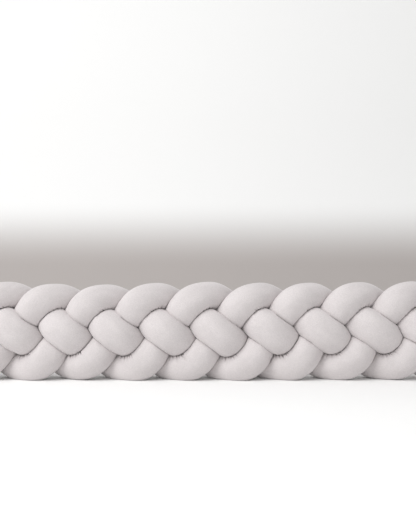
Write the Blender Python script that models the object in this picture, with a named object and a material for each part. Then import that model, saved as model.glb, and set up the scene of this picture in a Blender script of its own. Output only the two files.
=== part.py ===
"""A braided crib bumper: four stuffed cloth tubes in a flat braid that stands on its lower edge.

X runs along the braid, Y through it (front is -Y) and Z up. The origin is in the middle of the
braid's footprint, on the surface that it stands on. Sizes are in metres.
"""

import math

import bpy
import numpy as np
from mathutils.bvhtree import BVHTree

# The braid
STRANDS = 4
PITCH = 0.0843  # from one loop to the next along an edge
SKEW = 0.0320  # a lower loop lies this much further along than the upper loop above it
TURN_RADIUS = 0.0518  # of a strand's middle line where it turns back at an edge
UPPER_LIFT = 0.0062  # the upper turns' centres lie this far above the middle height
LOWER_LIFT = 0.0059  # and the lower turns' centres this far below it
MIDDLE_DEPTH = 0.0213  # a strand's middle line lies this far before or behind at a middle crossing
EDGE_DEPTH = 0.0160  # and this far at the crossings above and below that
MIDDLE_BAND = 0.020  # crossings nearer than this to the middle height are those of the middle row
LAST_TURN = 6  # the number of the last upper loop, at the right-hand end

# A strand
UPPER_HALF_WIDTH = 0.0231  # half its width where it turns at the top edge
LOWER_HALF_WIDTH = 0.0256  # where it turns at the bottom edge and carries the braid
FRONT_HALF_WIDTH = 0.0268  # at a crossing beside a turn, in front of the other strand
REAR_HALF_WIDTH = 0.0247  # and behind it
MIDDLE_HALF_WIDTH = 0.0289  # at a crossing in the middle row
HOLD_AT_CROSSING = 1.036  # above 1, a strand keeps its depth and width a little longer at a crossing
UPPER_LEAD = 0.0082  # in front of another at the top edge, a strand is deepest this much nearer to its turn
LOWER_LEAD = 0.0032  # and at the bottom edge this much nearer
TUCK_IN = 0.0025  # a strand is drawn in this much where it goes down behind another at the top edge
TUCK_THIN = 0.0023  # and half its width is this much less there
TUCK_BEFORE = 0.016  # the middle of that stretch lies this far before the crossing
TUCK_REACH = 0.035  # and it reaches this far to each side
DEPTH_SHARE = 0.77  # a strand is flatter, front to back, than it is wide
CLOTH_GAP = 0.0004  # between strands that press on each other
FLAT_SPOT = 0.0057  # how far the lower loops are pressed flat by the surface
FLOOR = -LOWER_LIFT - TURN_RADIUS - LOWER_HALF_WIDTH + FLAT_SPOT  # the surface, from the middle height
FLOOR_ROUNDING = 0.0020  # the cloth leaves the surface in a small round, not at an edge

# How unevenly the loops lie
UNEVEN_LOOPS = (
    # number, +1 upper or -1 lower, how far it lies further along, how far it reaches further out
    (-4, 1, 0.0034, 0.0038),
    (-3, 1, 0.0081, 0.0011),
    (-2, 1, 0.0065, -0.0030),
    (-1, 1, 0.0058, -0.0034),
    (0, 1, 0.0034, -0.0017),
    (1, 1, 0.0031, -0.0003),
    (2, 1, 0.0048, -0.0008),
    (3, 1, 0.0032, -0.0005),
    (4, 1, 0.0025, 0.0000),
    (5, 1, 0.0026, 0.0012),
    (-4, -1, 0.0002, -0.0007),
    (-3, -1, 0.0037, 0.0004),
    (-2, -1, 0.0016, -0.0039),
    (-1, -1, 0.0010, 0.0009),
    (0, -1, 0.0008, -0.0003),
    (1, -1, 0.0026, 0.0012),
    (2, -1, -0.0022, 0.0007),
    (3, -1, 0.0022, -0.0025),
    (4, -1, 0.0037, -0.0030),
    (5, -1, 0.0063, -0.0040),
)

# The ends, where the strands lie one above another and are gathered shut
HALF_LENGTH = 0.500
END_RUNS = (
    # how far before the last upper loop each strand leaves the braid, the height of its closed end
    (0.020, -0.0530),
    (0.025, 0.0180),
    (0.000, 0.0530),
    (0.041, -0.0180),
)
END_HALF_WIDTH = 0.0190  # half a strand's width where it is gathered
END_CAP = 0.024  # the length over which it closes
LAST_CROSSING = 0.028  # a strand is crossed no nearer than this to its end

# Fineness
LINE_STEP = 0.002  # between the points of a middle line
TURN_POINTS = 4  # at least so many on a turn
END_POINTS = 24  # on the run to a closed end
RING_STEP = 0.0092  # between the rings of a skin, and less where it closes
CAP_RINGS = 4
SIDES = 16
REACH = 0.050  # only this much of a neighbour, up and down its line, is near enough to press
FURTHEST = 1.5 * MIDDLE_HALF_WIDTH  # no skin reaches this far from its line
MARCH_STEPS = 16  # to find which stretch of that the skin crosses
HALVINGS = 12  # to find the skin in it
CLEARING_STEP = 0.0002  # how far the skins draw in at a time where their facets would meet
CLEARING_ROUNDS = 40

CLOTH_COLOUR = (0.66, 0.62, 0.62, 1.0)
CLOTH_ROUGHNESS = 0.85


def turn(number, side):
    """The centre of a loop as (x, z, side), where side is +1 for an upper and -1 for a lower loop."""
    shifts = {(n, s): (along, out) for n, s, along, out in UNEVEN_LOOPS}
    along, out = shifts.get((number, side), (0, 0))
    lift = UPPER_LIFT if side > 0 else LOWER_LIFT
    return (number - 0.5) * PITCH - side * SKEW / 2 + along, side * (lift + out), side


def turns_of(strand):
    """The loops of a strand in order along X."""
    found = []
    for number in range(-2 * STRANDS, 2 * STRANDS + 2):
        if (number - strand) % STRANDS == 0:
            found.append(turn(number, 1))
        if (number - strand) % STRANDS == STRANDS // 2:
            found.append(turn(number, -1))
    return sorted(found)


def belt(turns):
    """Points in XZ of a line that runs like a crossed belt over the upper turns and under the lower."""
    slopes = []
    for (xa, za, side), (xb, zb, _) in zip(turns, turns[1:]):
        between = math.hypot(xb - xa, zb - za)
        slopes.append(math.atan2(zb - za, xb - xa) - side * math.asin(2 * TURN_RADIUS / between))
    points = []
    for (x, z, side), before, after in zip(turns[1:], slopes, slopes[1:]):
        count = max(TURN_POINTS, round(abs(after - before) * TURN_RADIUS / LINE_STEP))
        for slope in np.linspace(before, after, count):
            out = side * TURN_RADIUS
            points.append((x - out * math.sin(slope), z + out * math.cos(slope)))
    return np.array(points)


def end_run(x, z, slope, height):
    """A cubic from a point of the belt to the closed end, which it reaches level."""
    t = np.linspace(0, 1, END_POINTS + 1)[1:]
    run = HALF_LENGTH - x
    blend, lean, rest = 2 * t**3 - 3 * t**2 + 1, t**3 - 2 * t**2 + t, 3 * t**2 - 2 * t**3
    return np.stack([x + run * t, z * blend + slope * run * lean + height * rest], axis=1)


def half_line(turns, before, height):
    """A line in XZ from the braid's middle over some turns to a right-hand end."""
    line = belt(turns)
    xs = np.arange(0, turn(LAST_TURN, 1)[0] - before, LINE_STEP)
    zs = np.interp(xs, line[:, 0], line[:, 1])
    slope = (zs[-1] - zs[-2]) / LINE_STEP
    return np.vstack([np.stack([xs, zs], axis=1), end_run(xs[-1], zs[-1], slope, height)])


def spaced(line, step):
    """The line again, with its points one step apart."""
    along = np.concatenate([[0], np.cumsum(np.linalg.norm(np.diff(line, axis=0), axis=1))])
    at = np.linspace(0, along[-1], round(along[-1] / step) + 1)
    return np.stack([np.interp(at, along, column) for column in line.T], axis=1)


def flat_line(strand):
    """A strand's whole line in XZ. The left-hand end is the right-hand one turned half round about Y."""
    turns = turns_of(strand)
    turned = sorted((-x, -z, -side) for x, z, side in turns)
    right = half_line(turns, *END_RUNS[strand])
    left = -half_line(turned, *END_RUNS[STRANDS - 1 - strand])[::-1]
    return spaced(np.vstack([left[:-1], right]), LINE_STEP)


def crossings(strand, lines):
    """Where the others cross a strand: (index along its line, True in the middle row, True in front)."""
    line = lines[strand]
    found = []
    for other, across in enumerate(lines):
        if other == strand:
            continue
        gap = line[:, 1] - np.interp(line[:, 0], across[:, 0], across[:, 1])
        for i in np.flatnonzero(np.sign(gap[:-1]) != np.sign(gap[1:])):
            rising = gap[i + 1] > gap[i]
            middle = abs(line[i, 1]) < MIDDLE_BAND
            found.append((i, middle, rising != middle))
    return sorted(found)


def eased(at, places, values):
    """Values at places along a line, joined by half waves."""
    i = np.clip(np.searchsorted(places, at, side="right") - 1, 0, len(places) - 2)
    places, values = np.array(places, float), np.array(values, float)
    share = (at - places[i]) / (places[i + 1] - places[i])
    share = np.clip(0.5 + (share - 0.5) * HOLD_AT_CROSSING, 0, 1)
    share = (1 - np.cos(np.pi * share)) / 2
    return values[i] + (values[i + 1] - values[i]) * share


def peaks(met, line):
    """Where along a strand its depth and width are those of each crossing."""
    found = []
    for place, middle, front in met:
        lead = UPPER_LEAD if line[place, 1] > 0 else -LOWER_LEAD
        found.append(place + lead / LINE_STEP if front and not middle else place)
    return found


def widths(met, line):
    """Half a strand's width at its ends, at its crossings and, between two outer ones, where it turns."""
    places, half_widths = [0], [END_HALF_WIDTH]
    for number, (peak, (place, middle, front)) in enumerate(zip(peaks(met, line), met)):
        if number and not middle and not met[number - 1][1]:
            turning = (place + met[number - 1][0]) / 2
            places.append(turning)
            half_widths.append(UPPER_HALF_WIDTH if line[int(turning), 1] > 0 else LOWER_HALF_WIDTH)
        places.append(peak)
        outer = FRONT_HALF_WIDTH if front else REAR_HALF_WIDTH
        half_widths.append(MIDDLE_HALF_WIDTH if middle else outer)
    return places + [len(line) - 1], half_widths + [END_HALF_WIDTH]


def tucked(line, half_width, met):
    """A line in XZ and half its width, drawn in at the shoulders that go down behind another strand."""
    at = np.arange(len(line)) * LINE_STEP
    share = np.zeros(len(line))
    for place, middle, front in met:
        if not middle and not front and line[place, 1] > 0:
            away = np.abs(at - place * LINE_STEP + TUCK_BEFORE) / TUCK_REACH
            share += (1 + np.cos(np.pi * np.clip(away, 0, 1))) / 2
    along = np.gradient(line, axis=0)
    outwards = np.stack([-along[:, 1], along[:, 0]], axis=1) / np.linalg.norm(along, axis=1)[:, None]
    return line - TUCK_IN * share[:, None] * outwards, half_width - TUCK_THIN * share


def strand_line(strand, lines):
    """A strand's middle line in 3D, and half its width at each point of it."""
    line = lines[strand]
    last, least = len(line) - 1, LAST_CROSSING / LINE_STEP
    met = [m for m in crossings(strand, lines) if least < m[0] < last - least]
    places = [0] + peaks(met, line) + [last]
    depths = [(MIDDLE_DEPTH if middle else EDGE_DEPTH) * (-1 if front else 1) for _, middle, front in met]
    at = np.arange(len(line))
    depth = eased(at, places, [0.0] + depths + [0.0])
    line, half_width = tucked(line, eased(at, *widths(met, line)), met)
    return np.stack([line[:, 0], depth, line[:, 1]], axis=1), half_width


def squeezed(points):
    """Points in the measure in which a strand is round."""
    return points * np.array([1.0, 1.0 / DEPTH_SHARE, 1.0])


def share_of_radius(points, line, radius, centres):
    """How far points are from a line, in its radii. The points of a row lie round one centre."""
    line, centres = squeezed(line), squeezed(centres)
    nearest = np.array([np.argmin(((line - c) ** 2).sum(1)) for c in centres])
    window = np.arange(-round(REACH / LINE_STEP), round(REACH / LINE_STEP) + 1)
    near = np.clip(nearest[:, None] + window, 0, len(line) - 1)
    away = squeezed(points)[:, :, None, :] - line[near][:, None, :, :]
    return (np.sqrt((away**2).sum(-1)) / radius[near][:, None, :]).min(-1)


def rings(strand, drawn):
    """Places along a strand's line, its centres there, and the sideways direction in XZ at each."""
    line = drawn[strand][0]
    last = len(line) - 1
    cap = END_CAP / LINE_STEP * (1 - np.cos(np.linspace(0, math.pi / 2, CAP_RINGS + 1)))
    count = round((last * LINE_STEP - 2 * END_CAP) / RING_STEP)
    at = np.concatenate([cap[:-1], np.linspace(cap[-1], last - cap[-1], count + 1), last - cap[-2::-1]])
    index = np.arange(len(line))
    centres = np.stack([np.interp(at, index, column) for column in line.T], axis=1)
    along = np.gradient(line, axis=0)
    along = np.stack([np.interp(at, index, column) for column in along.T], axis=1)
    along[:, 1] = 0
    along /= np.linalg.norm(along, axis=1)[:, None]
    sideways = np.stack([-along[:, 2], np.zeros(len(at)), along[:, 0]], axis=1)
    return at, centres, sideways


def pressed(strand, drawn):
    """The rings of a strand's skin, each out to its radius or to where a neighbour is as near."""
    at, centres, sideways = rings(strand, drawn)
    angles = np.arange(SIDES) * 2 * math.pi / SIDES
    ways = np.cos(angles)[None, :, None] * sideways[:, None, :]
    ways = ways + np.sin(angles)[None, :, None] * np.array([0, -1.0, 0])

    def outside(reach):
        points = centres[:, None, :] + reach[..., None] * ways
        own = share_of_radius(points, *drawn[strand], centres)
        others = [
            share_of_radius(points, *drawn[other], centres) for other in range(STRANDS) if other != strand
        ]
        return np.maximum(own - 1, own - np.min(others, axis=0) + CLOTH_GAP / FRONT_HALF_WIDTH) > 0

    inner = np.zeros((len(at), SIDES))
    outer = np.full((len(at), SIDES), np.nan)
    for step in range(1, MARCH_STEPS + 1):
        reach = np.full(inner.shape, FURTHEST * step / MARCH_STEPS)
        out = outside(reach)
        outer = np.where(np.isnan(outer) & out, reach, outer)
        inner = np.where(np.isnan(outer), reach, inner)
    outer = np.where(np.isnan(outer), FURTHEST, outer)
    for _ in range(HALVINGS):
        middle = (inner + outer) / 2
        out = outside(middle)
        outer = np.where(out, middle, outer)
        inner = np.where(out, inner, middle)
    return centres, ways, inner


def softened(reach):
    """The reach with its sharp corners rounded, and nowhere further out than it was."""
    round_ring = (np.roll(reach, 1, axis=1) + 2 * reach + np.roll(reach, -1, axis=1)) / 4
    padded = np.pad(round_ring, ((1, 1), (0, 0)), mode="edge")
    return np.minimum(reach, (padded[:-2] + 2 * round_ring + padded[2:]) / 4)


def capped(at, last, reach):
    """The reach of each ring, drawn in to a round closed end at both ends of a strand."""
    from_end = np.minimum(at, last - at) * LINE_STEP
    share = np.clip(1 - from_end / END_CAP, 0, 1)
    return reach * np.sqrt(1 - share**2)[:, None]


def facets(ring_count):
    """The triangles of a skin of rings that one more corner shuts at each end."""
    made = []
    for first in range(0, (ring_count - 1) * SIDES, SIDES):
        for side in range(SIDES):
            a, b = first + side, first + (side + 1) % SIDES
            made += [(a, b, b + SIDES), (a, b + SIDES, a + SIDES)]
    start, end, tail = ring_count * SIDES, ring_count * SIDES + 1, (ring_count - 1) * SIDES
    for side in range(SIDES):
        after = (side + 1) % SIDES
        made += [(start, after, side), (end, tail + side, tail + after)]
    return made


def resting(height):
    """Heights above the surface, with what would lie below it pressed flat onto it."""
    bend = np.clip((height + FLOOR_ROUNDING) / (2 * FLOOR_ROUNDING), 0, 1)
    return np.where(height > FLOOR_ROUNDING, height, FLOOR_ROUNDING * bend**2)


def corners(centres, ways, reach):
    """The corners of a skin, flat where it meets the surface below. Its first and last rings are points."""
    points = centres[:, None, :] + reach[..., None] * ways
    points[..., 2] = FLOOR + resting(points[..., 2] - FLOOR)
    return np.vstack([points[1:-1].reshape(-1, 3), points[0, :1], points[-1, :1]])


def cleared(skins):
    """Draws the skins in a little wherever their facets come nearer to each other than the gap."""
    for _ in range(CLEARING_ROUNDS):
        trees, triangles = [], []
        for centres, ways, reach in skins:
            triangles.append(facets(len(centres) - 2))
            grown = corners(centres, ways, reach + CLOTH_GAP / 2 * (reach > 0))
            trees.append(BVHTree.FromPolygons(grown.tolist(), triangles[-1]))
        met = False
        for one in range(STRANDS):
            reach = skins[one][2]
            for other in range(STRANDS):
                if other == one:
                    continue
                faces = {face for face, _ in trees[one].overlap(trees[other])}
                for corner in {corner for face in faces for corner in triangles[one][face]}:
                    ring, side = divmod(corner, SIDES)
                    if ring < len(reach) - 2:
                        reach[ring + 1, side] -= CLEARING_STEP
                        met = True
        if not met:
            break


def strand_object(name, points, triangles, material):
    """A strand with its smooth skin, standing on the surface."""
    mesh = bpy.data.meshes.new(name)
    mesh.from_pydata((points - np.array([0, 0, FLOOR])).tolist(), [], triangles)
    mesh.materials.append(material)
    mesh.shade_smooth()
    made = bpy.data.objects.new(name, mesh)
    bpy.context.scene.collection.objects.link(made)


def cloth():
    """The strands' pale grey cloth."""
    material = bpy.data.materials.new("pale_cloth")
    material.use_nodes = True
    shader = material.node_tree.nodes["Principled BSDF"]
    shader.inputs["Base Color"].default_value = CLOTH_COLOUR
    shader.inputs["Roughness"].default_value = CLOTH_ROUGHNESS
    shader.inputs["Metallic"].default_value = 0.0
    return material


def main():
    for left_over in list(bpy.data.objects):
        bpy.data.objects.remove(left_over)
    material = cloth()
    lines = [flat_line(strand) for strand in range(STRANDS)]
    drawn = [strand_line(strand, lines) for strand in range(STRANDS)]
    skins = []
    for strand in range(STRANDS):
        at = rings(strand, drawn)[0]
        centres, ways, reach = pressed(strand, drawn)
        skins.append((centres, ways, capped(at, len(drawn[strand][0]) - 1, softened(reach))))
    cleared(skins)
    for number, skin in enumerate(skins, start=1):
        strand_object(f"strand_{number}", corners(*skin), facets(len(skin[0]) - 2), material)


main()
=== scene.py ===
# %% [markdown]
# # A braided crib bumper
#
# The bumper is a flat braid of four long cloth tubes. Each tube is sewn from soft-pile cloth, stuffed
# with fibre and gathered shut at both ends. The braid stands on its lower edge. This file dresses the
# four plain solids of the fixed model: it makes a fine, padded skin for each strand, a soft pile for
# the cloth, and a pale studio.

import math

import bmesh
import bpy
import numpy as np
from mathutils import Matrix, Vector


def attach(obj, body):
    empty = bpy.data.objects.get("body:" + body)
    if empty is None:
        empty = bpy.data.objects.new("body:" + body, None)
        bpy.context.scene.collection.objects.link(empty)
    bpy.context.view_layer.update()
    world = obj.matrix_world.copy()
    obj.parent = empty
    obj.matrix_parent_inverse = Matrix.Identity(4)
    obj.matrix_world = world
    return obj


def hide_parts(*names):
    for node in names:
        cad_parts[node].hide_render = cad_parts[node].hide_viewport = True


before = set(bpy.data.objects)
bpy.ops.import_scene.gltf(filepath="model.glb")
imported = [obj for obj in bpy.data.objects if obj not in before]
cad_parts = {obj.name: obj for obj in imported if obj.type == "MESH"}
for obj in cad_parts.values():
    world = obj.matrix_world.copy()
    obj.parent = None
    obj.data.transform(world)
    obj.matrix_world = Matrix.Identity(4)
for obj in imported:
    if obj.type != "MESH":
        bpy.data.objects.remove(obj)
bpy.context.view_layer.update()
print("nodes:", sorted(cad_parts))

# %% [markdown]
# ## The braid's plan
#
# Seen from the front, each strand runs over a loop at the top edge, slants down, runs under a loop at
# the bottom edge and slants up again. That is the line of a crossed belt over round pulleys, so the
# loops are written down as pulleys and the belt is worked out. The sizes are those of the solids. The
# lowest and highest points could also be read from the solids, but the same few sizes draw the line
# much more finely.

# %% Sizes of the braid, in metres
STRANDS = 4
PITCH = 0.0843  # from one loop to the next along an edge
SKEW = 0.0320  # a lower loop lies this much further along than the upper loop above it
TURN_RADIUS = 0.0518  # of a strand's middle line where it turns back
UPPER_LIFT = 0.0062  # the upper turns' centres lie this far above the middle height
LOWER_LIFT = 0.0059  # and the lower turns' centres this far below it
MIDDLE_DEPTH = 0.0213  # of a middle line at a crossing in the middle row
EDGE_DEPTH = 0.0160  # and at a crossing above or below that
MIDDLE_BAND = 0.020  # the middle row's crossings are nearer than this to the middle height
LAST_TURN = 6  # the number of the last upper loop, at the right-hand end
HALF_LENGTH = 0.500
LINE_STEP = 0.002

UNEVEN_LOOPS = (
    # number, +1 upper or -1 lower, how far it lies further along, how far it reaches further out
    (-4, 1, 0.0034, 0.0038),
    (-3, 1, 0.0081, 0.0011),
    (-2, 1, 0.0065, -0.0030),
    (-1, 1, 0.0058, -0.0034),
    (0, 1, 0.0034, -0.0017),
    (1, 1, 0.0031, -0.0003),
    (2, 1, 0.0048, -0.0008),
    (3, 1, 0.0032, -0.0005),
    (4, 1, 0.0025, 0.0000),
    (5, 1, 0.0026, 0.0012),
    (-4, -1, 0.0002, -0.0007),
    (-3, -1, 0.0037, 0.0004),
    (-2, -1, 0.0016, -0.0039),
    (-1, -1, 0.0010, 0.0009),
    (0, -1, 0.0008, -0.0003),
    (1, -1, 0.0026, 0.0012),
    (2, -1, -0.0022, 0.0007),
    (3, -1, 0.0022, -0.0025),
    (4, -1, 0.0037, -0.0030),
    (5, -1, 0.0063, -0.0040),
)

END_RUNS = (
    # how far before the last upper loop each strand leaves the braid, the height of its closed end
    (0.020, -0.0530),
    (0.025, 0.0180),
    (0.000, 0.0530),
    (0.041, -0.0180),
)


def turn(number, side):
    """The centre of a loop as (x, z, side), where side is +1 for an upper and -1 for a lower loop."""
    shifts = {(n, s): (along, out) for n, s, along, out in UNEVEN_LOOPS}
    along, out = shifts.get((number, side), (0, 0))
    lift = UPPER_LIFT if side > 0 else LOWER_LIFT
    return (number - 0.5) * PITCH - side * SKEW / 2 + along, side * (lift + out), side


def turns_of(strand):
    """The loops of a strand in order along X."""
    found = []
    for number in range(-2 * STRANDS, 2 * STRANDS + 2):
        if (number - strand) % STRANDS == 0:
            found.append(turn(number, 1))
        if (number - strand) % STRANDS == STRANDS // 2:
            found.append(turn(number, -1))
    return sorted(found)


print("loops of the first strand:", [f"{x:+.3f}" for x, _, _ in turns_of(0)])

# %% The belt over the loops
TURN_POINTS = 4  # at least so many on a turn
END_POINTS = 24  # on the run to a closed end


def belt(turns):
    """Points in XZ of a line that runs like a crossed belt over the upper turns and under the lower."""
    slopes = []
    for (xa, za, side), (xb, zb, _) in zip(turns, turns[1:]):
        between = math.hypot(xb - xa, zb - za)
        slopes.append(math.atan2(zb - za, xb - xa) - side * math.asin(2 * TURN_RADIUS / between))
    points = []
    for (x, z, side), before, after in zip(turns[1:], slopes, slopes[1:]):
        out = side * TURN_RADIUS
        count = max(TURN_POINTS, round(abs(after - before) * TURN_RADIUS / LINE_STEP))
        for slope in np.linspace(before, after, count):
            points.append((x - out * math.sin(slope), z + out * math.cos(slope)))
    return np.array(points)


def end_run(x, z, slope, height):
    """A cubic from a point of the belt to the closed end, which it reaches level."""
    t = np.linspace(0, 1, END_POINTS + 1)[1:]
    run = HALF_LENGTH - x
    blend, lean, rest = 2 * t**3 - 3 * t**2 + 1, t**3 - 2 * t**2 + t, 3 * t**2 - 2 * t**3
    return np.stack([x + run * t, z * blend + slope * run * lean + height * rest], axis=1)


def half_line(turns, before, height):
    """A line in XZ from the braid's middle over some turns to a right-hand end."""
    line = belt(turns)
    xs = np.arange(0, turn(LAST_TURN, 1)[0] - before, LINE_STEP)
    zs = np.interp(xs, line[:, 0], line[:, 1])
    slope = (zs[-1] - zs[-2]) / LINE_STEP
    return np.vstack([np.stack([xs, zs], axis=1), end_run(xs[-1], zs[-1], slope, height)])


def flat_line(strand):
    """A strand's line in XZ, its points a step apart. The left end is the right one turned half round."""
    turned = sorted((-x, -z, -side) for x, z, side in turns_of(strand))
    right = half_line(turns_of(strand), *END_RUNS[strand])
    left = -half_line(turned, *END_RUNS[STRANDS - 1 - strand])[::-1]
    line = np.vstack([left[:-1], right])
    along = np.concatenate([[0], np.cumsum(np.linalg.norm(np.diff(line, axis=0), axis=1))])
    at = np.linspace(0, along[-1], round(along[-1] / LINE_STEP) + 1)
    return np.stack([np.interp(at, along, column) for column in line.T], axis=1)


flat_lines = [flat_line(strand) for strand in range(STRANDS)]
print("lengths:", [f"{(len(line) - 1) * LINE_STEP:.3f} m" for line in flat_lines])

# %% [markdown]
# ## Over and under
#
# Where two lines cross, one strand passes in front. In the outer rows it is the rising strand, and in
# the middle row the falling one. Between crossings a strand eases from front to back along half a
# wave. Its width eases in the same way: it is widest over the middle, where nothing hems it in.

# %% Depth and width along each strand
UPPER_HALF_WIDTH = 0.0231  # where it turns at the top edge
LOWER_HALF_WIDTH = 0.0256  # where it turns at the bottom edge and carries the braid
FRONT_HALF_WIDTH = 0.0268  # at a crossing beside a turn, in front of the other strand
REAR_HALF_WIDTH = 0.0247  # and behind it
MIDDLE_HALF_WIDTH = 0.0289  # at a crossing in the middle row
END_HALF_WIDTH = 0.0190  # at its closed ends
HOLD_AT_CROSSING = 1.036  # above 1, a strand keeps its depth and width a little longer at a crossing
UPPER_LEAD = 0.0082  # in front of another at the top edge, a strand is deepest this much nearer to its turn
LOWER_LEAD = 0.0032  # and at the bottom edge this much nearer
TUCK_IN = 0.0025  # a strand is drawn in this much where it goes down behind another at the top edge
TUCK_THIN = 0.0023  # and half its width is this much less there
TUCK_BEFORE = 0.016  # the middle of that stretch lies this far before the crossing
TUCK_REACH = 0.035  # and it reaches this far to each side
LAST_CROSSING = 0.028  # a strand is crossed no nearer than this to its end
FLAT_SPOT = 0.0057  # how far the lower loops are pressed flat by the surface that they stand on
FLOOR = -LOWER_LIFT - TURN_RADIUS - LOWER_HALF_WIDTH + FLAT_SPOT  # that surface, from the middle height
FLOOR_ROUNDING = 0.0020  # the cloth leaves the surface in a small round, not at an edge


def crossings(strand):
    """Where the others cross a strand: (index along its line, True in the middle row, True in front)."""
    line = flat_lines[strand]
    found = []
    for other, across in enumerate(flat_lines):
        gap = line[:, 1] - np.interp(line[:, 0], across[:, 0], across[:, 1])
        for i in np.flatnonzero(np.sign(gap[:-1]) != np.sign(gap[1:])) if other != strand else ():
            middle = abs(line[i, 1]) < MIDDLE_BAND
            found.append((i, middle, (gap[i + 1] > gap[i]) != middle))
    least = LAST_CROSSING / LINE_STEP
    return [m for m in sorted(found) if least < m[0] < len(line) - 1 - least]


def eased(at, places, values):
    """Values at places along a line, joined by half waves."""
    i = np.clip(np.searchsorted(places, at, side="right") - 1, 0, len(places) - 2)
    places, values = np.array(places, float), np.array(values, float)
    share = (at - places[i]) / (places[i + 1] - places[i])
    share = np.clip(0.5 + (share - 0.5) * HOLD_AT_CROSSING, 0, 1)
    return values[i] + (values[i + 1] - values[i]) * (1 - np.cos(np.pi * share)) / 2


def turn_places(met):
    """The middle of each turn: it lies between two crossings in an outer row."""
    pairs = zip(met, met[1:])
    return [(a[0] + b[0]) / 2 for a, b in pairs if not a[1] and not b[1]]


def peaks(met, line):
    """Where along a strand its depth and width are those of each crossing."""
    found = []
    for place, middle, front in met:
        lead = UPPER_LEAD if line[place, 1] > 0 else -LOWER_LEAD
        found.append(place + lead / LINE_STEP if front and not middle else place)
    return found


def tucked(line, half_width, met):
    """A line in XZ and half its width, drawn in at the shoulders that go down behind another strand."""
    at = np.arange(len(line)) * LINE_STEP
    share = np.zeros(len(line))
    for place, middle, front in met:
        if not middle and not front and line[place, 1] > 0:
            away = np.abs(at - place * LINE_STEP + TUCK_BEFORE) / TUCK_REACH
            share += (1 + np.cos(np.pi * np.clip(away, 0, 1))) / 2
    along = np.gradient(line, axis=0)
    outwards = np.stack([-along[:, 1], along[:, 0]], axis=1) / np.linalg.norm(along, axis=1)[:, None]
    return line - TUCK_IN * share[:, None] * outwards, half_width - TUCK_THIN * share


def strand_line(strand):
    """A strand's middle line in 3D, half its width at each point, and where it turns."""
    line, met = flat_lines[strand], crossings(strand)
    last = len(line) - 1
    at = np.arange(len(line))
    depths = [(MIDDLE_DEPTH if middle else EDGE_DEPTH) * (-1 if front else 1) for _, middle, front in met]
    places = peaks(met, line)
    depth = eased(at, [0] + places + [last], [0] + depths + [0])
    turning = turn_places(met)
    outer = {True: FRONT_HALF_WIDTH, False: REAR_HALF_WIDTH}
    widths = [(place, MIDDLE_HALF_WIDTH if m[1] else outer[m[2]]) for place, m in zip(places, met)]
    for place in turning:
        widths.append((place, UPPER_HALF_WIDTH if line[int(place), 1] > 0 else LOWER_HALF_WIDTH))
    widths = [(0, END_HALF_WIDTH)] + sorted(widths) + [(last, END_HALF_WIDTH)]
    line, half_width = tucked(line, eased(at, *zip(*widths)), met)
    return np.stack([line[:, 0], depth, line[:, 1]], axis=1), half_width, turning


drawn = [strand_line(strand) for strand in range(STRANDS)]
print("turns of each strand:", [len(turning) for _, _, turning in drawn])

# %% [markdown]
# ## The padded skins
#
# A stuffed tube is round until something presses on it. Each strand gets rings of points across its
# line. A point moves out from the line until it is one radius away, or until a neighbour is as near
# as its own line, whichever comes first. Seen from outside, neighbours then meet in one thin crease, as
# full tubes do. Out of sight behind the creases they still pass into each other in places, because only
# a short stretch of each neighbour is searched, and no step moves such points back.
# A ring lies in the upright plane across the plan line, so the rings never cut one another.

# %% Rings of a skin, out to the radius or to the neighbour
DEPTH_SHARE = 0.77  # a strand is a little flatter, front to back, than it is wide
CLOTH_GAP = 0.0001  # between strands that press on each other
RINGS = 430
SIDES = 56
TURN_DENSITY, TURN_ZONE = 0.7, 0.030  # how many more rings to each one at a turn, and over what length
CAP_DENSITY, CAP_ZONE = 2.5, 0.010  # and the same at a closed end
REACH = 0.050  # only this much of a neighbour, up and down its line, is searched, and more can press
FURTHEST = 1.5 * MIDDLE_HALF_WIDTH  # no skin reaches this far from its line
MARCH_STEPS = 14  # to find which stretch of that the skin crosses
HALVINGS = 10  # to find the skin in it
SQUEEZE = np.array([1.0, 1.0 / DEPTH_SHARE, 1.0])  # into the measure in which a strand is round


def ring_frame(strand, at, sides):
    """Centres at places along a strand's line, and the directions out of them, one for each side."""
    line = drawn[strand][0]
    index = np.arange(len(line))
    centres = np.stack([np.interp(at, index, column) for column in line.T], axis=1)
    along = np.gradient(line, axis=0)
    along = np.stack([np.interp(at, index, column) for column in along.T], axis=1)
    along[:, 1] = 0
    along /= np.linalg.norm(along, axis=1)[:, None]
    sideways = np.stack([-along[:, 2], np.zeros(len(at)), along[:, 0]], axis=1)
    angles = np.arange(sides) * 2 * math.pi / sides
    ways = np.cos(angles)[None, :, None] * sideways[:, None, :]
    return centres, ways + np.sin(angles)[None, :, None] * np.array([0, -1.0, 0])


def share_of_radius(points, strand, centres):
    """How far points are from a strand's line, in its half widths. A row of points has one centre."""
    line, half_width, _ = drawn[strand]
    line, centres = line * SQUEEZE, centres * SQUEEZE
    nearest = np.array([np.argmin(((line - centre) ** 2).sum(1)) for centre in centres])
    window = np.arange(-round(REACH / LINE_STEP), round(REACH / LINE_STEP) + 1)
    near = np.clip(nearest[:, None] + window, 0, len(line) - 1)
    flat = (points * SQUEEZE).astype(np.float32)
    best = np.full(points.shape[:2], np.inf, np.float32)
    for column in near.T:
        away = ((flat - line[column][:, None, :].astype(np.float32)) ** 2).sum(-1)
        np.minimum(best, away / (half_width[column][:, None] ** 2).astype(np.float32), out=best)
    return np.sqrt(best)


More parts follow.
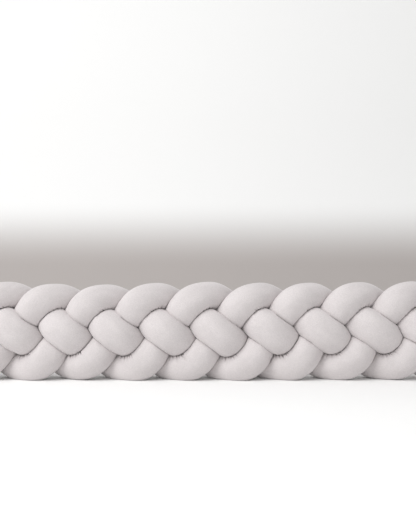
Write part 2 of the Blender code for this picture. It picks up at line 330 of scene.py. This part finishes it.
def pressed(strand, at):
    """How far out each ring's sides reach, and how much nearer a neighbour is than the free skin."""
    centres, ways = ring_frame(strand, at, SIDES)

    def measures(reach):
        points = centres[:, None, :] + reach[..., None] * ways
        own = share_of_radius(points, strand, centres)
        others = [share_of_radius(points, other, centres) for other in range(STRANDS) if other != strand]
        return own - 1, own - np.min(others, axis=0) + CLOTH_GAP / FRONT_HALF_WIDTH

    inner = np.zeros((len(at), SIDES))
    outer = np.full((len(at), SIDES), np.nan)
    for step in range(1, MARCH_STEPS + 1):
        reach = np.full(inner.shape, FURTHEST * step / MARCH_STEPS)
        out = np.maximum(*measures(reach)) > 0
        outer = np.where(np.isnan(outer) & out, reach, outer)
        inner = np.where(np.isnan(outer), reach, inner)
    outer = np.where(np.isnan(outer), FURTHEST, outer)
    for _ in range(HALVINGS):
        middle = (inner + outer) / 2
        out = np.maximum(*measures(middle)) > 0
        outer, inner = np.where(out, middle, outer), np.where(out, inner, middle)
    free, neighbour = measures(inner)
    return inner, neighbour > free


def ring_places(strand):
    """Places of the rings: closer together at the turns, where the cloth bunches, and in the caps."""
    line, _, turning = drawn[strand]
    index = np.arange(len(line))
    from_end = np.minimum(index, index[-1] - index) * LINE_STEP
    density = 1 + CAP_DENSITY * np.exp(-((from_end / CAP_ZONE) ** 2))
    for place in turning:
        density += TURN_DENSITY * np.exp(-(((index - place) * LINE_STEP / TURN_ZONE) ** 2))
    run = np.concatenate([[0], np.cumsum((density[1:] + density[:-1]) / 2)])
    return np.interp(np.linspace(0, run[-1], RINGS), run, index)


skins = []
for strand in range(STRANDS):
    at = ring_places(strand)
    reach, touching = pressed(strand, at)
    skins.append((at, reach, touching))
    print(f"strand {strand + 1}: {reach.shape[0]} rings, {touching.mean():.0%} of the skin is pressed on")

# %% [markdown]
# ## Let the cloth go
#
# So far the skins are drawn. Real cloth was cut as a straight tube, and on the inside of each bend
# there is now too much of it. Blender's cloth simulation finds out what it does there: the drawn skin
# is the start, the straight tube is the rest shape, and the stuffing presses from inside with no
# gravity. Each point is held softly where it was drawn, as the neighbours and the stuffing hold it,
# so the strands keep their places and only the surface settles. After the last frame each point may
# have moved only a little, and where a neighbour presses, not at all.

# %% The skin to let go, and the straight tube that it was cut as
def grid_quads(rings, sides):
    """The faces of a grid of rings, as numbers of its corners, ring by ring."""
    ring, side = np.meshgrid(np.arange(rings - 1), np.arange(sides), indexing="ij")
    a, b = ring * sides + side, ring * sides + (side + 1) % sides
    return np.stack([a, b, b + sides, a + sides], axis=-1).reshape(-1, 4).tolist()


def straight_tube(at, points):
    """The points of each ring on a straight tube that is as long and as wide round as the skin."""
    angles = np.arange(SIDES) * 2 * math.pi / SIDES
    radius = np.linalg.norm(points - np.roll(points, 1, axis=1), axis=2).sum(axis=1) / (2 * math.pi)
    run = np.broadcast_to((at * LINE_STEP)[:, None], points.shape[:2])
    return np.stack([run] + [radius[:, None] * wave(angles) for wave in (np.cos, np.sin)], axis=-1)


def skin_object(at, points):
    """An object in the shape of the drawn skin, with the straight tube as its second shape."""
    mesh = bpy.data.meshes.new("skin")
    mesh.from_pydata(points.reshape(-1, 3).tolist(), [], grid_quads(len(at), SIDES))
    skin = bpy.data.objects.new("skin", mesh)
    bpy.context.scene.collection.objects.link(skin)
    skin.shape_key_add(name="drawn")
    cut = skin.shape_key_add(name="cut")
    cut.data.foreach_set("co", straight_tube(at, points).ravel())
    cut.value = 0
    return skin


# %% A cloth simulation of each strand
CLOTH_FRAMES = 16
HOLD = 0.04  # how firmly each point is held where it was drawn, from 0 to 1
MOST_MOVE = 0.0015
CLOTH_SETTINGS = dict(
    quality=5,
    mass=0.3,
    tension_stiffness=15,
    compression_stiffness=15,
    bending_stiffness=0.05,
    use_pressure=True,
    uniform_pressure_force=4,
    pin_stiffness=1,
)


def let_go(skin):
    """Runs the cloth simulation on a skin, and gives where its points end up."""
    held = skin.vertex_groups.new(name="held")
    held.add(list(range(len(skin.data.vertices))), HOLD, "REPLACE")
    cloth = skin.modifiers.new("cloth", "CLOTH")
    for name, value in CLOTH_SETTINGS.items():
        setattr(cloth.settings, name, value)
    cloth.settings.effector_weights.gravity = 0
    cloth.settings.rest_shape_key = skin.data.shape_keys.key_blocks["cut"]
    cloth.settings.vertex_group_mass = held.name
    cloth.collision_settings.use_collision = False
    cloth.point_cache.frame_start, cloth.point_cache.frame_end = 1, CLOTH_FRAMES
    for frame_number in range(1, CLOTH_FRAMES + 1):
        bpy.context.scene.frame_set(frame_number)
    seen = skin.evaluated_get(bpy.context.evaluated_depsgraph_get())
    moved = np.empty(3 * len(seen.data.vertices))
    seen.data.vertices.foreach_get("co", moved)
    return moved.reshape(-1, 3)


def settled(strand, at, reach, touching):
    """The reach of a strand's skin after the cloth is let go over its stuffing."""
    centres, ways = ring_frame(strand, at, SIDES)
    points = centres[:, None, :] + reach[..., None] * ways
    skin = skin_object(at, points)
    out = ((let_go(skin).reshape(points.shape) - points) * ways).sum(axis=2)
    bpy.data.objects.remove(skin)
    bpy.context.scene.frame_set(1)
    moves = np.abs(out) * 1000
    print(f"strand {strand + 1}: the cloth moved {moves.mean():.2f} mm on average, at most {moves.max():.1f}")
    return reach + np.where(touching, 0, MOST_MOVE * np.tanh(out / MOST_MOVE))


# %% [markdown]
# ## From rings to cloth
#
# Cloth can't turn a sharp corner, so the rings are rounded a little where two pressed faces meet, but
# never outwards, so this pushes no strand into another. The grid is doubled each way with a smooth rule that
# puts a new point between four old ones. A subdivision surface does the same, but here the order of
# the grid is kept, and the puckers need it: they lie at known places along and round a strand.

# %% Double the grid and round its corners
END_CAP = 0.024  # the length over which a strand closes
ROUNDING = 1  # passes, each about two thirds of a fine grid step


def rounded(values, passes):
    """Values on a grid of rings, averaged with their neighbours round and along a strand."""
    for _ in range(passes):
        values = (np.roll(values, 1, axis=1) + 2 * values + np.roll(values, -1, axis=1)) / 4
        padded = np.pad(values, ((1, 1), (0, 0)), mode="edge")
        values = (padded[:-2] + 2 * values + padded[2:]) / 4
    return values


def doubled(values, wraps):
    """Rows of values with a smooth new row between each two."""
    if wraps:
        padded = np.concatenate([values[-1:], values, values[:2]])
    else:
        padded = np.concatenate([values[:1], values, values[-1:]])
    between = (9 * (padded[1:-2] + padded[2:-1]) - padded[:-3] - padded[3:]) / 16
    rows = np.empty((len(values) + len(between),) + values.shape[1:])
    rows[0::2], rows[1::2] = values, between
    return rows


def fine_skin(strand):
    """The places of a fine grid's rings, and its reach and how far it is pressed on, from 0 to 1."""
    at, reach, touching = skins[strand]
    reach = settled(strand, at, reach, touching)
    at = np.clip(doubled(at, False), 0, len(drawn[strand][0]) - 1)
    reach = doubled(doubled(reach, False).T, True).T
    touching = doubled(doubled(touching.astype(float), False).T, True).T
    return at, np.minimum(reach, rounded(reach, ROUNDING)), np.clip(touching, 0, 1)


fine = [fine_skin(strand) for strand in range(STRANDS)]
print("fine grid of a strand:", fine[0][1].shape)

# %% [markdown]
# ## Puckers, soft folds and closed ends
#
# A straight tube that is bent sharply has too much cloth on the inside of the bend. Braiding gathers
# it in a row of short puckers that start in the crease and run out over the strand. They are what
# shows that this is cloth over stuffing, so each bend gets its own row, a little different every
# time. Beside them the cloth has broad, low lumps from the stuffing, and a few faint folds.
#
# Each pucker is a groove at a place along the strand. It is deepest in the crease and dies out with
# the distance from it, so that distance is worked out first.

# %% Distance from the crease
FAR_FROM_CREASE = 0.1  # further than any point is


def crease_distance(points, touching):
    """How far each point lies, round its ring, from the nearest crease. It is negative where pressed."""
    step = np.linalg.norm(np.roll(points, -1, axis=1) - points, axis=2)
    pressed_on = touching > 0.5
    crosses = pressed_on != np.roll(pressed_on, -1, axis=1)
    distance = np.where(crosses | np.roll(crosses, 1, axis=1), step / 2, FAR_FROM_CREASE)
    for _ in range(points.shape[1] // 2):
        distance = np.minimum(distance, np.roll(distance + step, 1, axis=1))
        distance = np.minimum(distance, np.roll(distance, -1, axis=1) + step)
    return np.where(pressed_on, -distance, distance)


def smooth_step(value):
    """0 below 0, 1 above 1, and an even rise between."""
    value = np.clip(value, 0, 1)
    return value * value * (3 - 2 * value)


# %% Puckers at the inner bends
LOWER_PUCKERS = dict(count=8, spacing=0.0068, deep=0.0034, long=0.0080, wide=0.0015)
UPPER_PUCKERS = dict(count=6, spacing=0.0070, deep=0.0024, long=0.0034, wide=0.0015)
FINE_WRINKLES = dict(count=9, spacing=0.0075, deep=0.00025, long=0.0140, wide=0.0014)
PUCKER_FAN = 0.12  # each pucker leans this much more than the one before it, so a row fans out
PUCKER_SPREAD = 0.6  # it grows wider by this share of its width over its length
PUCKER_ROOT = 0.004  # how far it reaches in under the neighbour
LIP_HEIGHT = 0.4  # the cloth rises beside it, by this share of its depth
LIP_START = 0.002  # and only this far out from the crease
INNER_SIDE = 0.3  # how far past the middle of the strand the row reaches
chance = np.random.default_rng(41)


def pucker(kind, step, run, distance):
    """How far one pucker of a row pushes the skin in. run is measured from the middle of its turn."""
    offset = (step + chance.uniform(-0.35, 0.35)) * kind["spacing"]
    lean = chance.uniform(-0.25, 0.25) + PUCKER_FAN * step
    long = kind["long"] * chance.uniform(0.5, 1.7)
    deep = kind["deep"] * chance.uniform(0.5, 1.3)
    out = np.maximum(distance, 0)
    wide = kind["wide"] * chance.uniform(0.8, 1.25) * (1 + PUCKER_SPREAD * out / long)
    across = (run - offset - lean * out) / wide
    fades = np.where(distance > 0, np.exp(-((out / long) ** 1.5)), np.exp(distance / PUCKER_ROOT))
    lips = LIP_HEIGHT * np.exp(-((across / 2) ** 2)) * smooth_step(distance / LIP_START)
    return deep * fades * (np.exp(-(across**2)) - lips)


def puckers(strand, at, distance, inner):
    """How far the puckers at a strand's turns push its skin in. inner is 1 inside a bend, -1 outside."""
    line, _, turning = drawn[strand]
    push = np.zeros(distance.shape)
    for place in turning:
        upper = line[int(place), 2] > 0
        side = smooth_step(INNER_SIDE + (inner if upper else -inner))
        run = (at[:, None] - place) * LINE_STEP
        for kind in (UPPER_PUCKERS,) if upper else (LOWER_PUCKERS, FINE_WRINKLES):
            for number in range(kind["count"]):
                push += side * pucker(kind, number - (kind["count"] - 1) / 2, run, distance)
    return push


# %% Lumps and soft folds
LUMP_DEPTH = 0.00045
LUMPS_ALONG, LUMPS_ROUND = 36, 6
SOFT_FOLDS = (
    # x and z of a fold's middle as seen from the front, its slope, length, width and depth
    (-0.206, 0.022, 1.75, 0.016, 0.0016, 0.0005),
    (-0.292, 0.078, 0.95, 0.024, 0.0018, 0.0004),
    (-0.284, 0.066, 0.85, 0.020, 0.0016, 0.0003),
)


def lumps(shape, run):
    """Broad, low lumps on a grid: smooth chance values about 40 mm apart along and 20 mm round."""
    rows = np.interp(run, np.linspace(0, run[-1], LUMPS_ALONG), np.arange(LUMPS_ALONG))
    columns = np.arange(shape[1]) / shape[1] * LUMPS_ROUND
    coarse = chance.normal(size=(LUMPS_ALONG, LUMPS_ROUND))
    low = rows.astype(int).clip(0, LUMPS_ALONG - 2)
    share = smooth_step(rows - low)[:, None]
    left, blend = columns.astype(int), smooth_step(columns % 1)
    at_row = coarse[low] * (1 - share) + coarse[low + 1] * share
    return at_row[:, left] * (1 - blend) + at_row[:, (left + 1) % LUMPS_ROUND] * blend


def soft_folds(points):
    """The faint folds, where the cloth of the front is drawn together."""
    push = np.zeros(points.shape[:2])
    for x, z, slope, long, wide, deep in SOFT_FOLDS:
        lean = np.array([1, slope]) / math.hypot(1, slope)
        dx, dz = points[..., 0] - x, points[..., 2] - z
        along, across = dx * lean[0] + dz * lean[1], dz * lean[0] - dx * lean[1]
        push += deep * np.exp(-((along / long) ** 2) - (across / wide) ** 2) * (points[..., 1] < 0)
    return push


# %% The closed ends
PLEATS = 13
PLEAT_DEPTH = 0.16  # of the radius, next to the end
PLEAT_TURN = 1.7  # radians by which each strand's pleats are turned from those of the one before
END_ROUNDNESS = 2.2  # 2 is a round end, and a higher value a blunter one


def end_shape(from_end, angles, phase):
    """How wide a strand is near its ends, as a share of its full width: a round, pleated closing."""
    share = np.clip(1 - from_end / END_CAP, 0, 1)
    closing = np.sqrt(np.maximum(1 - share**END_ROUNDNESS, 0))
    pleats = np.cos(PLEATS * angles + phase + 0.8 * np.sin(2 * angles + phase)) - 0.3
    return closing * (1 - PLEAT_DEPTH * share**3 * pleats)


# %% Put the folds together
LUMPS_START = 0.012  # the lumps have their whole height this far from a crease
FOLDS_START = 0.015  # and all folds this far from a closed end
TUBE_RADIUS = 0.0215  # of the tube as it was sewn, about 135 mm round


def finished_points(strand):
    """A strand's points with all of its folds, and where each lay on the straight tube."""
    at, reach, touching = fine[strand]
    centres, ways = ring_frame(strand, at, 2 * SIDES)
    angles = np.arange(2 * SIDES) * math.pi / SIDES
    points = centres[:, None, :] + reach[..., None] * ways
    distance = crease_distance(points, touching)
    inner = np.tile(-np.cos(angles), (len(at), 1))
    push = puckers(strand, at, distance, inner) + soft_folds(points)
    push -= LUMP_DEPTH * smooth_step(distance / LUMPS_START) * lumps(reach.shape, at * LINE_STEP)
    from_end = np.minimum(at, len(drawn[strand][0]) - 1 - at)[:, None] * LINE_STEP
    push *= smooth_step(from_end / FOLDS_START)
    reach = (reach - push) * end_shape(from_end, angles, strand * PLEAT_TURN)
    run = np.broadcast_to((at * LINE_STEP)[:, None], reach.shape)
    around = [np.broadcast_to(TUBE_RADIUS * wave(angles), reach.shape) for wave in (np.cos, np.sin)]
    return centres[:, None, :] + reach[..., None] * ways, np.stack([run] + around, axis=-1)


# %% Build the strands
def closed_mesh(name, points, tube):
    """A mesh over a grid of rings, shut by one point at each end."""
    rings, sides = len(points) - 2, points.shape[1]
    ends = [0, -1]
    corners = np.vstack([points[1:-1].reshape(-1, 3)] + [points[end, :1] for end in ends])
    places = np.vstack([tube[1:-1].reshape(-1, 3)] + [tube[end, :1] * [1, 0, 0] for end in ends])
    start, end, tail = rings * sides, rings * sides + 1, (rings - 1) * sides
    shut = [(start, (side + 1) % sides, side) for side in range(sides)]
    shut += [(end, tail + side, tail + (side + 1) % sides) for side in range(sides)]
    mesh = bpy.data.meshes.new(name)
    mesh.from_pydata(corners.tolist(), [], grid_quads(rings, sides) + shut)
    mesh.attributes.new("straight_tube", "FLOAT_VECTOR", "POINT").data.foreach_set("vector", places.ravel())
    mesh.shade_smooth()
    made = bpy.data.objects.new(name, mesh)
    bpy.context.scene.collection.objects.link(made)
    return made


def resting(height):
    """Heights above the surface, with what would lie below it pressed flat onto it."""
    bend = np.clip((height + FLOOR_ROUNDING) / (2 * FLOOR_ROUNDING), 0, 1)
    return np.where(height > FLOOR_ROUNDING, height, FLOOR_ROUNDING * bend**2)


strands = []
for strand in range(STRANDS):
    points, tube = finished_points(strand)
    points[..., 2] = resting(points[..., 2] - FLOOR)
    strands.append(closed_mesh(f"padded_strand_{strand + 1}", points, tube))
    print(strands[-1].name, len(strands[-1].data.polygons), "faces")

# %% Ride and replace
for number, piece in enumerate(strands, start=1):
    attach(piece, "root")
    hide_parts(f"strand_{number}")

# %% [markdown]
# ## Soft pile
#
# The cloth is a short, dense pile, as on velvet jersey. It has no weave to see. Close up it has a
# fine grain, because the tips of the pile stand at slightly different heights. From further away it
# is faintly clouded, where the pile has been stroked one way or another. Seen edge on it is a little
# brighter, because light catches the tips, and that is what the sheen of the shader does.
#
# The pattern reads the attribute that holds each point's place on the straight tube, so the grain
# follows the cloth round each bend. The group puts out what changes over the surface, and the numbers
# that are the same all over are set on the shader itself.

# %% A node group for the pile
def group_node(nodes, kind, **settings):
    """A new node with some of its properties and its inputs set."""
    node = nodes.new(kind)
    for name, value in settings.items():
        if hasattr(node, name):
            setattr(node, name, value)
        else:
            node.inputs[name.replace("_", " ")].default_value = value
    return node


pile = bpy.data.node_groups.new("soft_pile", "ShaderNodeTree")
for name, kind, default in (
    ("Place", "NodeSocketVector", (0, 0, 0)),
    ("Shade", "NodeSocketColor", (0.6, 0.6, 0.6, 1)),
    ("Stroked shade", "NodeSocketColor", (0.7, 0.7, 0.7, 1)),
    ("Grain size", "NodeSocketFloat", 0.0006),
    ("Cloud size", "NodeSocketFloat", 0.02),
):
    socket = pile.interface.new_socket(name, in_out="INPUT", socket_type=kind)
    socket.default_value = default
outputs = ("Color", "NodeSocketColor"), ("Roughness", "NodeSocketFloat"), ("Height", "NodeSocketFloat")
for name, kind in outputs:
    pile.interface.new_socket(name, in_out="OUTPUT", socket_type=kind)

nodes, wires = pile.nodes, pile.links
given, result = nodes.new("NodeGroupInput"), nodes.new("NodeGroupOutput")


def scaled_noise(size_socket, stretch, detail, roughness):
    """Noise whose features are as large as a group input says, in metres, stretched along a strand."""
    over = group_node(nodes, "ShaderNodeMath", operation="DIVIDE")
    over.inputs[0].default_value = 1
    wires.new(given.outputs[size_socket], over.inputs[1])
    shape = group_node(nodes, "ShaderNodeVectorMath", operation="MULTIPLY")
    shape.inputs[1].default_value = (1 / stretch, 1, 1)
    wires.new(given.outputs["Place"], shape.inputs[0])
    noise = group_node(nodes, "ShaderNodeTexNoise", Detail=detail, Roughness=roughness)
    wires.new(shape.outputs[0], noise.inputs["Vector"])
    wires.new(over.outputs[0], noise.inputs["Scale"])
    return noise.outputs["Fac"]


def stretched(value, low, high, to_low, to_high):
    """A value mapped from one range to another, smoothly and without going beyond it."""
    node = group_node(nodes, "ShaderNodeMapRange", interpolation_type="SMOOTHSTEP")
    for socket, number in zip(("From Min", "From Max", "To Min", "To Max"), (low, high, to_low, to_high)):
        node.inputs[socket].default_value = number
    wires.new(value, node.inputs["Value"])
    return node.outputs["Result"]


def blended(share, first, second, blend_type="MIX"):
    """Two colours mixed by a share that is a socket or a number."""
    node = group_node(nodes, "ShaderNodeMix", data_type="RGBA", blend_type=blend_type)
    for socket, value in zip((node.inputs[0], node.inputs[6], node.inputs[7]), (share, first, second)):
        if isinstance(value, (tuple, float)):
            socket.default_value = value
        else:
            wires.new(value, socket)
    return node.outputs[2]


clouds = stretched(scaled_noise("Cloud size", 1.8, 3.0, 0.55), 0.32, 0.68, 0.0, 1.0)
grain = scaled_noise("Grain size", 2.2, 2.0, 0.6)
stroked = blended(clouds, given.outputs["Shade"], given.outputs["Stroked shade"])
tips = blended(stretched(grain, 0.25, 0.75, 0.0, 1.0), (0.90, 0.90, 0.90, 1), (1.06, 1.06, 1.06, 1))
wires.new(blended(1.0, stroked, tips, "MULTIPLY"), result.inputs["Color"])
wires.new(stretched(clouds, 0.0, 1.0, 0.95, 0.84), result.inputs["Roughness"])
wires.new(grain, result.inputs["Height"])
print("inputs of the pile:", [item.name for item in pile.interface.items_tree if item.in_out == "INPUT"])

# %% The cloth
cloth = bpy.data.materials.new("soft_pile_cloth")
cloth.use_nodes = True
nodes, wires = cloth.node_tree.nodes, cloth.node_tree.links
shader = nodes["Principled BSDF"]
shader.inputs["Sheen Weight"].default_value = 0.35
shader.inputs["Sheen Roughness"].default_value = 0.45
shader.inputs["Specular IOR Level"].default_value = 0.25
on_tube = group_node(nodes, "ShaderNodeAttribute", attribute_name="straight_tube")
look_of_pile = nodes.new("ShaderNodeGroup")
look_of_pile.node_tree = pile
look_of_pile.inputs["Shade"].default_value = (0.615, 0.576, 0.576, 1)
look_of_pile.inputs["Stroked shade"].default_value = (0.655, 0.614, 0.614, 1)
look_of_pile.inputs["Grain size"].default_value = 0.0007
look_of_pile.inputs["Cloud size"].default_value = 0.022
relief = group_node(nodes, "ShaderNodeBump", Strength=0.5, Distance=0.0004)
wires.new(on_tube.outputs["Vector"], look_of_pile.inputs["Place"])
wires.new(look_of_pile.outputs["Color"], shader.inputs["Base Color"])
wires.new(look_of_pile.outputs["Roughness"], shader.inputs["Roughness"])
wires.new(look_of_pile.outputs["Height"], relief.inputs["Height"])
wires.new(relief.outputs["Normal"], shader.inputs["Normal"])
for piece in strands:
    piece.data.materials.append(cloth)

# %% [markdown]
# ## Floor, light and camera
#
# The floor is pale and plain, and it curves up behind the braid. A soft grey band low on the backdrop
# sets off the braid's pale top edge. One large soft light stands high on the left in front, and pale
# light from all round fills the shadows, so each strand is brightest on its upper left and darker
# where it dives under the next.

# %% A pale floor that curves up behind
FLOOR_SIZE, BACK, WALL_HEIGHT, SWEEP_RADIUS = 8.0, 2.2, 3.0, 1.0
FLOOR_SHADE = (0.94, 0.94, 0.935, 1)
BAND_SHADE = (0.46, 0.425, 0.41, 1)
BAND_STARTS, BAND_ENDS = (0.0, 0.10), (0.20, 0.55)  # heights between which the shade changes
bpy.ops.mesh.primitive_plane_add(size=FLOOR_SIZE, location=(0, BACK - FLOOR_SIZE / 2, 0))
floor = bpy.context.object
floor.name = "floor"
bpy.ops.object.mode_set(mode="EDIT")
bpy.ops.mesh.select_all(action="DESELECT")
bpy.ops.mesh.select_mode(type="EDGE")
sheet = bmesh.from_edit_mesh(floor.data)
for edge in sheet.edges:
    edge.select_set(all(corner.co.y > 0 for corner in edge.verts))
bmesh.update_edit_mesh(floor.data)
bpy.ops.mesh.extrude_region_move(TRANSFORM_OT_translate={"value": (0, 0, WALL_HEIGHT)})
bpy.ops.object.mode_set(mode="OBJECT")
sweep = floor.modifiers.new("sweep", "BEVEL")
sweep.width, sweep.segments = SWEEP_RADIUS, 16
bpy.ops.object.shade_smooth()

paper = bpy.data.materials.new("pale_paper")
paper.use_nodes = True
nodes, wires = paper.node_tree.nodes, paper.node_tree.links
shader = nodes["Principled BSDF"]
shader.inputs["Roughness"].default_value = 0.9
shader.inputs["Specular IOR Level"].default_value = 0.2
place = nodes.new("ShaderNodeTexCoord")
split = nodes.new("ShaderNodeSeparateXYZ")
wires.new(place.outputs["Object"], split.inputs["Vector"])
above_floor = stretched(split.outputs["Z"], *BAND_STARTS, 0.0, 1.0)
above_band = stretched(split.outputs["Z"], *BAND_ENDS, 0.0, 1.0)
low_shade = blended(above_floor, FLOOR_SHADE, BAND_SHADE)
wires.new(blended(above_band, low_shade, FLOOR_SHADE), shader.inputs["Base Color"])
floor.data.materials.append(paper)

# %% Soft light
BRAID_MIDDLE = 0.08  # its height, which the light faces
world = bpy.data.worlds.new("studio")
bpy.context.scene.world = world
world.use_nodes = True
background = world.node_tree.nodes["Background"]
background.inputs["Color"].default_value = (1, 1, 1, 1)
background.inputs["Strength"].default_value = 0.66
bpy.context.scene.view_settings.view_transform = "Standard"


def soft_light(name, azimuth, elevation, distance, size, power):
    """A square soft light that faces the braid. Azimuth 0 is in front, and grows to the right."""
    turned, raised = math.radians(azimuth), math.radians(elevation)
    flat = math.cos(raised)
    towards = Vector((math.sin(turned) * flat, -math.cos(turned) * flat, math.sin(raised)))
    data = bpy.data.lights.new(name, "AREA")
    data.size, data.energy = size, power
    light = bpy.data.objects.new(name, data)
    light.location = Vector((0, 0, BRAID_MIDDLE)) + towards * distance
    light.rotation_euler = towards.to_track_quat("Z", "Y").to_euler()
    bpy.context.scene.collection.objects.link(light)


soft_light("key_light", -50, 42, 3.6, 1.8, 82)

# %% Camera
PHOTO_WIDTH = 416
FOCAL_PX = 598.6
METRES_PER_PX = 0.001658  # at the braid
CAMERA_PITCH = math.radians(-1.24)
BRAID_DROP_PX = 72  # the braid's middle lies this much below the frame's
SEEN_POINT = Vector((0.0264, 0, 0.0763))  # the point of the braid that is seen there
SENSOR_WIDTH = 36  # in millimetres
camera = bpy.data.objects.new("camera", bpy.data.cameras.new("camera"))
bpy.context.scene.collection.objects.link(camera)
camera.data.sensor_fit = "HORIZONTAL"
camera.data.sensor_width = SENSOR_WIDTH
camera.data.lens = SENSOR_WIDTH * FOCAL_PX / PHOTO_WIDTH
look = Vector((0, math.cos(CAMERA_PITCH), -math.sin(CAMERA_PITCH)))
up = Vector((0, math.sin(CAMERA_PITCH), math.cos(CAMERA_PITCH)))
camera.location = SEEN_POINT + METRES_PER_PX * (BRAID_DROP_PX * up - FOCAL_PX * look)
camera.rotation_euler = (math.pi / 2 - CAMERA_PITCH, 0, 0)
bpy.context.scene.camera = camera
print("camera at", [round(value, 3) for value in camera.location])
